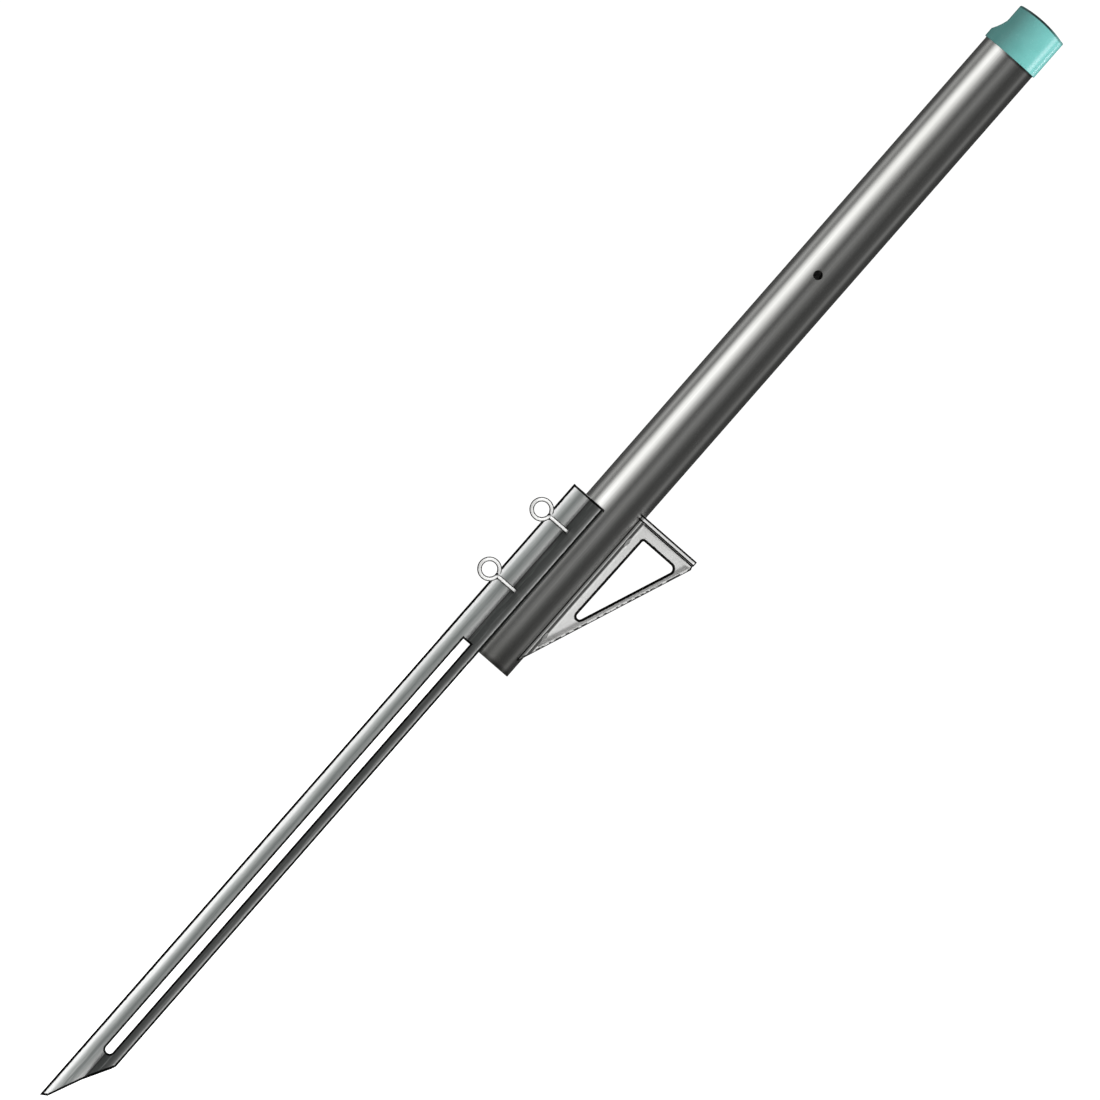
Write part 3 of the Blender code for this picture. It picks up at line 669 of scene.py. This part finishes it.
def cast_metal():
    """Shot-blasted casting: a fine grain, a few pores, dirt in them; painted shade along its edges and on the saddle.
    """
    m, t, s, at = material("cast_bracket")
    cloud = t.noise(at, 90, 5, 0.6)
    grain = t.noise(at, 1500, 3, 0.6)
    lumps = t.noise(at, 420, 3, 0.5)
    cells = t.add("ShaderNodeTexVoronoi", {"Vector": at, "Scale": 620.0}, feature="F1")
    pore = t.span(cells.outputs["Distance"], 0.16, 0.05, smooth=True)
    few = t.math("MULTIPLY", pore, t.span(t.noise(at, 300, 2), 0.52, 0.60))
    tone = t.mix(t.span(cloud, 0.3, 0.7), (0.70, 0.70, 0.69), (0.79, 0.79, 0.782))
    tone = t.mix(t.span(grain, 0.35, 0.7, 0.0, 0.22), tone, (0.54, 0.54, 0.53))
    tone = t.mix(t.math("MULTIPLY", few, 0.6), tone, (0.20, 0.20, 0.19))
    # painted shade: dark outlines round the window, along the brace and the step's edges and end, a dark band under the
    # brace, a dark line on the web under the step, and darkening on the saddle where it meets the tube; the blasted
    # flats keep their bright tone
    x, y, z = t.dot(at, (1, 0, 0)), t.dot(at, (0, 1, 0)), t.dot(at, (0, 0, 1))
    wide = t.math("ABSOLUTE", y)
    (ax, az, _), (bx, bz, _), (cx, cz, _) = WINDOW
    from_window = t.most(
        t.plane(at, (0, 0, 1), (ax, 0, az)),
        t.plane(at, (-(az - cz), 0, ax - cx), (cx, 0, cz)),
        t.plane(at, (bz - cz, 0, -(bx - cx)), (cx, 0, cz)),
    )
    for i, (px, pz, radius) in enumerate(WINDOW):
        here = Vector((px, pz))
        a = (Vector(WINDOW[i - 1][:2]) - here).normalized()
        b = (Vector(WINDOW[(i + 1) % 3][:2]) - here).normalized()
        centre = here + (a + b).normalized() * radius / math.sin(a.angle(b) / 2)
        dx, dz = t.math("SUBTRACT", x, centre.x * MM), t.math("SUBTRACT", z, centre.y * MM)
        bend = t.math("SUBTRACT", t.math("SQRT", t.math("ADD", t.math("MULTIPLY", dx, dx), t.math("MULTIPLY", dz, dz))), radius * MM)
        beyond = t.both(t.above(t.plane(at, (-a.x, 0, -a.y), (centre.x, 0, centre.y)), 0, 0.02),
                        t.above(t.plane(at, (-b.x, 0, -b.y), (centre.x, 0, centre.y)), 0, 0.02))
        from_window = t.math("ADD", from_window, t.both(beyond, t.math("SUBTRACT", bend, from_window)))
    brace = t.plane(at, (-(BRACE_HIGH[1] - BRACE_LOW[1]), 0, BRACE_HIGH[0] - BRACE_LOW[0]),
                    (BRACE_LOW[0], 0, BRACE_LOW[1]))
    away = t.math("SQRT", t.math("ADD", t.math("MULTIPLY", x, x), t.math("MULTIPLY", y, y)))
    past = t.math("MAXIMUM", t.math("SUBTRACT", x, (STEP_END_X - 4) * MM), 0.0)
    aside = t.math("MAXIMUM", t.math("SUBTRACT", wide, (STEP_W / 2 - 4) * MM), 0.0)
    from_step = t.math("SUBTRACT", t.math("SQRT", t.math("ADD", t.math("MULTIPLY", past, past), t.math("MULTIPLY", aside, aside))), 4 * MM)
    ragged = t.math("MULTIPLY", t.math("SUBTRACT", t.noise(at, 700, 3, 0.6), 0.5), 0.0009)
    dark = t.most(
        t.both(t.below(t.math("ADD", from_window, ragged), 2.2), t.below(wide, 3.2), t.above(wide, WEB_T / 2 - 0.7)),
        t.both(t.below(t.math("ADD", brace, ragged), 0.75), t.above(wide, BRACE_RIB_W / 2 - 0.8)),
        t.both(t.below(brace, 1.6), t.above(wide, BRACE_RIB_W / 2 - 0.8), t.span(t.noise(at, 1, 1, stretch=(260, 260, 260)), 0.46, 0.54), 0.93),
        t.both(t.above(z, STEP_TOP - 1.55), t.above(from_step, -0.9)),
        t.both(t.below(z, STEP_TOP - STEP_T + 1.2), t.above(z, STEP_TOP - STEP_T - 0.4), t.above(from_step, -0.8)),
        t.both(t.above(z, STEP_TOP - STEP_T - 0.4), t.above(x, STEP_END_X - 1.0)),
        t.both(t.below(z, STEP_TOP - STEP_T + 0.4), t.above(z, STEP_TOP - STEP_T - 1.3), t.below(wide, 2.4)),
        t.both(t.above(x, STEP_END_X - 1.4), t.below(wide, 3.0)),
        t.both(t.below(away, R + GAP + SADDLE_T + 0.4), t.below(wide, 12.0, 0.2), t.span(wide, 0.0035, 0.0060, 0.45, 0.95)),
    )
    # painted shade on the saddle's end faces
    painted_edge_shade = t.both(t.below(away, R + GAP + SADDLE_T + 0.3), t.above(wide, 12.0, 0.2), 0.8)
    tone = t.mix(painted_edge_shade, tone, (0.25, 0.25, 0.245))
    tone = t.mix(dark, tone, (0.007, 0.007, 0.0065))
    t.put(s.inputs["Base Color"], tone)
    t.put(s.inputs["Metallic"], t.span(dark, 0.0, 1.0, 0.12, 0.0))
    t.put(s.inputs["Specular IOR Level"], t.span(dark, 0.0, 1.0, 0.5, 0.0))
    t.put(s.inputs["Roughness"], t.span(cloud, 0.3, 0.7, 0.50, 0.64))
    deep = t.math("ADD", t.math("MULTIPLY", grain, 0.5), t.math("MULTIPLY", lumps, 0.9))
    deep = t.math("SUBTRACT", deep, t.math("MULTIPLY", few, 1.4))
    t.put(s.inputs["Normal"], t.bump(deep, 0.000028))
    return m


def zinc(name, tone_a, tone_b, metallic, rough=(0.24, 0.36), eye_z=None):
    """Bright zinc plate: a satin skin with faint cloudy patches."""
    m, t, s, at = material(name)
    cloud = t.noise(at, 240, 4, 0.6)
    fine = t.noise(at, 2600, 2, 0.5)
    spot = t.ramp(t.noise(at, 700, 3, 0.6), [(0.0, 0), (0.62, 0), (0.72, 1)])
    tone = t.mix(t.span(cloud, 0.3, 0.7), tone_a, tone_b)
    tone = t.mix(t.math("MULTIPLY", spot, 0.30), tone, (0.50, 0.50, 0.48))
    s.inputs["Metallic"].default_value = metallic
    if eye_z is not None:
        # painted shade along the eye's inner and outer edges; the wire's face between them keeps its bright plate
        x = t.math("SUBTRACT", t.dot(at, (1, 0, 0)), EYE_CENTRE_X * MM)
        up = t.math("SUBTRACT", t.dot(at, (0, 0, 1)), eye_z * MM)
        ring = t.math("SQRT", t.math("ADD", t.math("MULTIPLY", x, x), t.math("MULTIPLY", up, up)))
        off_ring = t.math("ABSOLUTE", t.math("SUBTRACT", ring, EYE_SEEN_R * MM))
        shank = t.above(x, EYE_SEEN_R + 1.5, 0.5)
        off = t.math("ADD", t.both(shank, t.math("ABSOLUTE", up)), t.both(t.math("SUBTRACT", 1.0, shank), off_ring))
        wander = t.math("MULTIPLY", t.math("SUBTRACT", t.noise(at, 520, 2, 0.6), 0.5), 0.0007)
        outside = t.above(t.math("SUBTRACT", t.dot(at, tuple(OUT)), SEAT * MM), 0.3)
        painted_edge_shade = t.both(t.above(t.math("ADD", off, wander), 1.05, 0.5), outside)
        tone = t.mix(painted_edge_shade, tone, (0.016, 0.016, 0.015))
        t.put(s.inputs["Metallic"], t.span(painted_edge_shade, 0.0, 1.0, metallic, 0.1))
    t.put(s.inputs["Base Color"], tone)
    t.put(s.inputs["Roughness"], t.math("ADD", t.span(cloud, 0.3, 0.7, *rough), t.math("MULTIPLY", spot, 0.12)))
    t.put(s.inputs["Normal"], t.bump(t.math("ADD", fine, t.math("MULTIPLY", spot, -0.6)), 0.000012))
    return m


def clear_tubing():
    """Clear vinyl tubing gone a little cloudy, chafed along its top."""
    m, t, s, at = material("clear_tubing")
    cloud = t.noise(at, 180, 4, 0.6)
    chafe = t.noise(at, 1, 3, 0.6, stretch=(900, 900, 300))
    tone = t.mix(t.span(cloud, 0.3, 0.7), (0.70, 0.71, 0.66), (0.80, 0.80, 0.76))
    t.put(s.inputs["Base Color"], tone)
    t.put(s.inputs["Roughness"], t.span(chafe, 0.35, 0.7, 0.28, 0.55))
    s.inputs["Transmission Weight"].default_value = 0.55
    s.inputs["IOR"].default_value = 1.53
    t.put(s.inputs["Normal"], t.bump(chafe, 0.00004))
    return m


TUBE_METAL = tube_metal()
ANGLE_METAL = angle_metal()
CAP_VINYL = vinyl()
CAST_METAL = cast_metal()
BOLT_ZINC = [zinc("bolt_zinc_" + n, (0.93, 0.93, 0.92), (0.98, 0.98, 0.97), 0.4, (0.15, 0.24), z)
             for n, z in zip(("lower", "upper"), BOLT_Z)]
NUT_ZINC = zinc("nut_zinc", (0.70, 0.70, 0.68), (0.80, 0.80, 0.77), 0.8)
RIVET_METAL = zinc("rivet_alloy", (0.20, 0.20, 0.196), (0.28, 0.28, 0.275), 0.35)
TUBING = clear_tubing()


def finish(o, body, slot, mat, *nodes):
    o.data.materials.clear()
    o.data.materials.append(mat)
    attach(o, body)
    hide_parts(*nodes)
    return o


# ---------------------------------------------------------------- rod tube
def bolt_line(z):
    return aimed((BOLT_FOOT.x, BOLT_FOOT.y, z), OUT)


def rivet_line(deg, z):
    a = math.radians(deg)
    return aimed((0, 0, z), (math.cos(a), math.sin(a), 0))


tube = lathe("drawn_rod_tube", [
    (R - 0.45, TUBE_TOP_SEEN), (R - 0.12, TUBE_TOP_SEEN - 0.12), (R, TUBE_TOP_SEEN - 0.45), (R, 0.55),
    (R - 0.07, 0.25), (R - 0.25, 0.06), (R - 0.50, 0), (BORE + 0.40, 0), (BORE + 0.12, 0.12),
    (BORE, 0.40), (BORE, TUBE_TOP_SEEN - 0.4), (BORE + 0.4, TUBE_TOP_SEEN),
], 240)
tools = [
    prism("c_notch", u_shape(0, NOTCH_Z, NOTCH_R + NOTCH_TUBE_EXTRA, NOTCH_Z + 40, 48), -45, -5, SIDEWAYS),
    lathe("c_side", [(0, 10), (SIDE_HOLE_D / 2, 10), (SIDE_HOLE_D / 2, R - 0.35),
                     (SIDE_HOLE_D / 2 + 0.5, R + 0.25), (SIDE_HOLE_D / 2 + 0.5, 40), (0, 40)], 64,
          aimed((0, 0, SIDE_HOLE_Z), (0, -1, 0)), closed=False),
]
for z in BOLT_Z:
    tools.append(rod("c_bolt", BOLT_HOLE_D / 2, -90, 30, bolt_line(z)))
for deg in (-RIVET_DEG, RIVET_DEG):
    for z in RIVET_Z:
        tools.append(rod("c_rivet", RIVET_HOLE_D / 2, 15, 40, rivet_line(deg, z), 32))
combine(tube, tools)
crisp(tube, 35, weighted=False)
round_wall(tube.data, [(R, 1), (BORE, -1)])
finish(tube, "root", "tube", TUBE_METAL, "rod_tube")

# ---------------------------------------------------------------- mouth cap
cap_r = CAP_OD / 2
cap = lathe("vinyl_mouth_cap", [
    (cap_r - 1.0, CAP_TOP), (cap_r - 0.3, CAP_TOP - 0.3), (cap_r, CAP_TOP - 1.0),
    (cap_r, CAP_BOTTOM + 0.4), (cap_r - 0.3, CAP_BOTTOM), (R + 0.15, CAP_BOTTOM),
    (R + 0.15, CAP_TOP - CAP_LIP), (BORE - 0.1, CAP_TOP - CAP_LIP),
    (BORE - 0.1, CAP_TOP - 0.8), (BORE + 0.5, CAP_TOP),
], 160)
combine(cap, [prism("c_cap_notch", u_shape(0, NOTCH_Z, NOTCH_R, NOTCH_Z + 40, 48), -45, -5, SIDEWAYS)])
remesh(cap, 0.36, 5)
co = coordinates(cap.data)
r = np.hypot(co[:, 0], co[:, 1]) / MM
wall = (np.abs(r - cap_r) < 0.12) & (co[:, 2] < (CAP_TOP - 1.2) * MM)
co[wall, :2] *= (cap_r / r[wall])[:, None]
co[:, 2] = np.clip(co[:, 2], CAP_BOTTOM * MM, CAP_TOP * MM)
# its rim is crowned, highest at the front and the back
near_top = np.clip((co[:, 2] / MM - (CAP_TOP - 13)) / 9.5, 0, 1)
near_top = near_top * near_top * (3 - 2 * near_top)
co[:, 2] -= np.minimum(CROWN * (co[:, 0] / MM) ** 2, CROWN_MOST) * near_top * MM
place(cap.data, co)
cap_alone.objects.link(cap)
cap.data.shade_smooth()
round_wall(cap.data, [(cap_r, 1)])
finish(cap, "root", "cap", CAP_VINYL, "top_cap")

# ---------------------------------------------------------------- angle spike
legs = rounded([
    (CORNER_W, 0, ANGLE_FILLET),
    (CORNER_W - ANGLE_T + LEG_SEATED, 0, 0.6),
    (CORNER_W - ANGLE_T + LEG_SEATED, -ANGLE_T, 0.6),
    (CORNER_W - ANGLE_T, -ANGLE_T, 0.9),
    (CORNER_W - ANGLE_T, LEG_FREE - ANGLE_T, 0.7),
    (CORNER_W, LEG_FREE - ANGLE_T, 0.7),
], steps=7)
angle = prism("slotted_spike_angle", legs, -ANGLE_TOP, -TIP_Z + 8, SEAT_FRAME, inset=0.25)
corner = OUT * SEAT + ACROSS * CORNER_W
slot = prism("c_slot", u_shape(SLOT_X, SLOT_LOW + SLOT_W / 2, SLOT_SEEN_W / 2, SLOT_HIGH, 24), -20, 70, UPRIGHT)
point = block("c_point", (-150, -150, 0), (150, 150, 150),
              aimed((corner.x, corner.y, TIP_Z + POINT_AT_CORNER),
                    Vector((POINT_SLOPE_X, POINT_SLOPE_Y, -1))))
free_edge_x = (corner + OUT * (LEG_FREE - ANGLE_T) - ACROSS * ANGLE_T).x
blunt = block("c_blunt", (-60, -60, 0), (60, 60, 60),
              aimed((free_edge_x, corner.y, TIP_Z), (BLUNT_SLOPE, 0, -1)))
combine(angle, [slot, point, blunt] + [rod("c_bolt", BOLT_HOLE_D / 2, -90, 30, bolt_line(z)) for z in BOLT_Z])
bm = bmesh.new()
bm.from_mesh(angle.data)
half = SLOT_SEEN_W / 2 * MM


def on_slot(v):
    x, z = v.co.x - SLOT_X * MM, v.co.z
    if z > SLOT_HIGH * MM + 1e-6 or z < SLOT_LOW * MM - 1e-6:
        return False
    if z > (SLOT_LOW + SLOT_W / 2) * MM:
        return abs(abs(x) - half) < 1e-5 or abs(z - SLOT_HIGH * MM) < 1e-6
    return abs(math.hypot(x, z - (SLOT_LOW + SLOT_W / 2) * MM) - half) < 1e-5


rims = [e for e in bm.edges if len(e.link_faces) == 2 and e.calc_face_angle(0) > math.radians(32)
        and on_slot(e.verts[0]) and on_slot(e.verts[1])]
bmesh.ops.bevel(bm, geom=rims, offset=0.00022, segments=2, profile=0.5, affect="EDGES", clamp_overlap=True)
bm.to_mesh(angle.data)
bm.free()
crisp(angle, 40)
finish(angle, "root", "angle", ANGLE_METAL, "spike_angle")


# ---------------------------------------------------------------- eye bolts
def eye_bolt(name, z):
    """Bent wire with a closed eye, and a rolled thread at its far end."""
    eye_out = (EYE_CENTRE_X - BOLT_FOOT.x) / OUT.x
    stretch = 1 / math.sin(TURN)
    neck = math.sqrt(EYE_SEEN_R**2 + 2 * EYE_SEEN_R * EYE_NECK_R)
    meet = math.atan2(-EYE_NECK_R, neck)
    seen = []
    first, last, n = math.radians(EYE_END_DEG), 2 * math.pi + meet, 150
    for i in range(n + 1):
        a = first + (last - first) * i / n
        seen.append((EYE_SEEN_R * math.cos(a), EYE_SEEN_R * math.sin(a)))
    first, last, n = math.pi + meet, math.pi / 2, 24
    for i in range(1, n + 1):
        a = first + (last - first) * i / n
        seen.append((neck + EYE_NECK_R * math.cos(a), -EYE_NECK_R + EYE_NECK_R * math.sin(a)))
    flat = [Vector((eye_out - x * stretch, y)) for x, y in seen]
    far, threaded = -SEAT - BOLT_END, 17.0
    for s in np.linspace(flat[-1].x, far + threaded, 14)[1:]:
        flat.append(Vector((float(s), 0)))
    rings = int(threaded / (THREAD_PITCH / 8))
    for i in range(1, rings + 1):
        flat.append(Vector((far + threaded - threaded * i / rings, 0)))
    smooth = [flat[0]] + [(a + b * 2 + c) / 4 for a, b, c in zip(flat, flat[1:], flat[2:])] + [flat[-1]]
    length = [0.0]
    for a, b in zip(smooth, smooth[1:]):
        length.append(length[-1] + (b - a).length)
    total, sides = length[-1], 28
    bm = bmesh.new()
    grid = []
    for k, (p, s) in enumerate(zip(smooth, length)):
        ahead = (smooth[min(k + 1, len(smooth) - 1)] - smooth[max(k - 1, 0)]).normalized()
        beside = Vector((-ahead.y, ahead.x))
        ring = []
        left = total - s
        for i in range(sides):
            a = 2 * math.pi * i / sides
            rad = WIRE_D / 2 - 0.05
            if s < 0.5:
                rad -= 0.45 * (1 - s / 0.5) ** 2
            if left < threaded:
                phase = (s / THREAD_PITCH - a / (2 * math.pi)) % 1.0
                cutin = min(1.0, (threaded - left) / 1.4) * min(1.0, left / 0.5 + 0.25)
                rad -= 0.34 * min(1.0, max(0.0, abs(phase * 2 - 1) * 1.25 - 0.10)) * cutin
            if left < 0.5:
                rad -= 0.5 * (1 - left / 0.5)
            side = beside * (math.cos(a) * rad)
            ring.append(bm.verts.new(((-math.sin(a) * rad) * MM, (p.y + side.y) * MM, (p.x + side.x) * MM)))
        grid.append(ring)
    for a, b in zip(grid, grid[1:]):
        for i in range(sides):
            bm.faces.new((a[i], a[(i + 1) % sides], b[(i + 1) % sides], b[i]))
    bm.faces.new(grid[0])
    bm.faces.new(grid[-1])
    o = made(name, bm, Matrix.Translation(Vector((BOLT_FOOT.x, BOLT_FOOT.y, z)) * MM) @ Matrix(
        ((-ACROSS.x, 0, OUT.x, 0), (-ACROSS.y, 0, OUT.y, 0), (0, 1, 0, 0), (0, 0, 0, 1))
    ))
    return crisp(o, 50, weighted=False)


for level, z in zip(("lower", "upper"), BOLT_Z):
    finish(eye_bolt("wire_eye_bolt_" + level, z), "bolt_" + level, "bolt", BOLT_ZINC[BOLT_Z.index(z)], "eye_bolt_" + level)
    sleeve = lathe("vinyl_butt_sleeve_" + level, [
        (SLEEVE_OD / 2, -SEAT + SLEEVE_NEAR - 0.5), (SLEEVE_OD / 2 + 0.0, -SEAT - SLEEVE_FAR + 0.5),
        (SLEEVE_OD / 2 - 0.15, -SEAT - SLEEVE_FAR + 0.15), (SLEEVE_OD / 2 - 0.5, -SEAT - SLEEVE_FAR),
        (SLEEVE_BORE / 2 + 0.3, -SEAT - SLEEVE_FAR), (SLEEVE_BORE / 2, -SEAT - SLEEVE_FAR + 0.3),
        (SLEEVE_BORE / 2, -SEAT + SLEEVE_NEAR - 0.3), (SLEEVE_BORE / 2 + 0.3, -SEAT + SLEEVE_NEAR),
        (SLEEVE_OD / 2 - 0.5, -SEAT + SLEEVE_NEAR), (SLEEVE_OD / 2 - 0.15, -SEAT + SLEEVE_NEAR - 0.15),
    ], 64, bolt_line(z))
    finish(crisp(sleeve, 50), "sleeve_" + level, "sleeve", TUBING, "butt_sleeve_" + level)

# ---------------------------------------------------------------- nut plate and nuts
far = -OUT * math.sqrt(R**2 - BOLT_W**2) + ACROSS * BOLT_W
far_deg = math.degrees(math.atan2(far.y, far.x))
inner, outer = R + GAP, R + GAP + NUT_PLATE_T
steps = 40
arc = []
for rad, order in ((outer, range(steps + 1)), (inner, range(steps, -1, -1))):
    for i in order:
        a = math.radians(far_deg - NUT_PLATE_HALF_DEG + 2 * NUT_PLATE_HALF_DEG * i / steps)
        arc.append((rad * math.cos(a), rad * math.sin(a)))
plate = prism("pressed_nut_plate", arc, NUT_PLATE_LOW, NUT_PLATE_HIGH)
half_w = outer * math.sin(math.radians(NUT_PLATE_HALF_DEG)) + 0.2
keep = prism("c_keep", rounded([(-half_w, NUT_PLATE_LOW, 4), (half_w, NUT_PLATE_LOW, 4),
                                (half_w, NUT_PLATE_HIGH, 4), (-half_w, NUT_PLATE_HIGH, 4)], 8), 10, 50)
a = math.radians(far_deg)
keep.data.transform(Matrix(((-math.sin(a), 0, math.cos(a), 0), (math.cos(a), 0, math.sin(a), 0),
                            (0, 1, 0, 0), (0, 0, 0, 1))))
combine(plate, [keep], "INTERSECT")
spot = -outer + 0.55
tools = []
for z in BOLT_Z:
    tools.append(rod("c_bolt", BOLT_HOLE_D / 2, -90, 30, bolt_line(z)))
    tools.append(rod("c_spot", NUT_AF * 0.68, -SEAT + spot - 8, -SEAT + spot, bolt_line(z)))
combine(plate, tools)
beads = []
for z in BOLT_Z:
    for side in (-1, 1):
        bead = bmesh.new()
        bmesh.ops.create_uvsphere(bead, u_segments=20, v_segments=12, radius=1.15 * MM)
        bead.transform(Matrix.Diagonal((1.0, 1.5, 0.85, 1)))
        beads.append(made("weld", bead, bolt_line(z) @ Matrix.Translation(
            (side * (NUT_AF / 2 + 0.25) * MM, 0, (-SEAT + spot - 0.15) * MM))))
combine(plate, beads, "UNION")
remesh(plate, 0.3, 3)
finish(plate, "root", "nut", NUT_ZINC, "nut_plate")

for level, z in zip(("lower", "upper"), BOLT_Z):
    top = -SEAT + spot - GAP
    low = top - NUT_H
    rad = NUT_AF / math.sqrt(3)
    nut = prism("hex_nut_m4_" + level, [
        (rad * math.cos(math.radians(60 * i + 90)), rad * math.sin(math.radians(60 * i + 90)))
        for i in range(6)], low, top)
    shell = lathe("c_shell", [(0, top), (NUT_AF * 0.475, top), (rad + 0.08, top - 0.45),
                              (rad + 0.08, low + 0.45), (NUT_AF * 0.475, low), (0, low)], 96, closed=False)
    combine(nut, [shell], "INTERSECT")
    hole = lathe("c_bore", [(0, top + 1), (2.9, top + 1), (2.55, top), (2.16, top - 0.4),
                            (2.16, low + 0.4), (2.55, low), (2.9, low - 1), (0, low - 1)], 64, closed=False)
    combine(nut, [hole])
    nut.data.transform(bolt_line(z))
    finish(crisp(nut, 25), "root", "nut", NUT_ZINC, "hex_nut_" + level)

# ---------------------------------------------------------------- foot bracket
run = (Vector(BRACE_HIGH) - Vector(BRACE_LOW)).normalized()
step_under = STEP_TOP - STEP_T
web = rounded([
    (R - 2, STEP_TOP - 1, 0), (STEP_END_X - 1.5, STEP_TOP - 1, 0), (STEP_END_X, step_under - 2.6, 1.6),
    (*BRACE_HIGH, 0), (*BRACE_LOW, 0), (R - 2, BRACE_LOW[1] - 2 * run.y / run.x, 0),
])
bracket = prism("cast_foot_bracket", web, -WEB_T / 2, WEB_T / 2, UPRIGHT)
step = prism("c_step", rounded([(R - 8, -STEP_W / 2, 0), (STEP_END_X, -STEP_W / 2, 4),
                                (STEP_END_X, STEP_W / 2, 4), (R - 8, STEP_W / 2, 0)], 10),
             step_under, STEP_TOP)
arc = []
inner, outer = R - 1.0, R + GAP + SADDLE_T
for rad, order in ((outer, range(33)), (inner, range(32, -1, -1))):
    for i in order:
        a = math.radians(-SADDLE_HALF_DEG + 2 * SADDLE_HALF_DEG * i / 32)
        arc.append((rad * math.cos(a), rad * math.sin(a)))
saddle = prism("c_saddle", arc, BRACE_LOW[1] - 6, STEP_TOP)
slope = Matrix.Translation((BRACE_LOW[0] * MM, 0, BRACE_LOW[1] * MM)) @ Matrix(
    ((run.x, 0, -run.y, 0), (0, 1, 0, 0), (run.y, 0, run.x, 0), (0, 0, 0, 1)))
length = (Vector(BRACE_HIGH) - Vector(BRACE_LOW)).length
rib = block("c_rib", (0, -BRACE_RIB_W / 2, 0), (length - 0.6, BRACE_RIB_W / 2, BRACE_RIB_T), slope)
combine(bracket, [step, saddle, rib], "UNION")
tools = [
    prism("c_window", rounded(WINDOW, 10), -30, 30, UPRIGHT),
    rod("c_room", R + GAP, -20, 200, None, 240),
    block("c_below", (-60, -40, -60), (200, 40, 0), slope),
]
for deg in (-RIVET_DEG, RIVET_DEG):
    for z in RIVET_Z:
        tools.append(rod("c_rivet", RIVET_HOLE_D / 2, 15, 40, rivet_line(deg, z), 32))
combine(bracket, tools)
remesh(bracket, 0.42, 3)
finish(bracket, "root", "bracket", CAST_METAL, "foot_bracket")

# ---------------------------------------------------------------- rivets
skin = GAP + SADDLE_T
for side, deg in (("front", -RIVET_DEG), ("back", RIVET_DEG)):
    for level, z in zip(("lower", "upper"), RIVET_Z):
        seat, tail, h = R + skin + GAP, BORE - GAP, RIVET_HEAD_D / 2
        profile = [
            (0, seat + 0.75), (1.05, seat + 0.75), (1.12, seat + 0.80), (1.20, seat + 1.33), (1.36, seat + 1.34),
            (h * 0.50, seat + 1.22), (h * 0.70, seat + 0.98), (h * 0.86, seat + 0.62),
            (h * 0.97, seat + 0.28), (h, seat + 0.1), (h - 0.05, seat), (RIVET_D / 2, seat),
            (RIVET_D / 2, tail - 0.1), (RIVET_D * 0.60, tail - 0.3), (RIVET_D * 0.66, tail - 0.7),
            (RIVET_D * 0.64, tail - 1.3), (RIVET_D * 0.48, tail - 1.9), (RIVET_D * 0.3, tail - 2.15),
            (0, tail - 2.15),
        ]
        rivet = lathe(f"blind_rivet_{side}_{level}", profile, 56, rivet_line(deg, z), closed=False)
        finish(crisp(rivet, 45), "root", "rivet", RIVET_METAL, f"bracket_rivet_{side}_{level}")
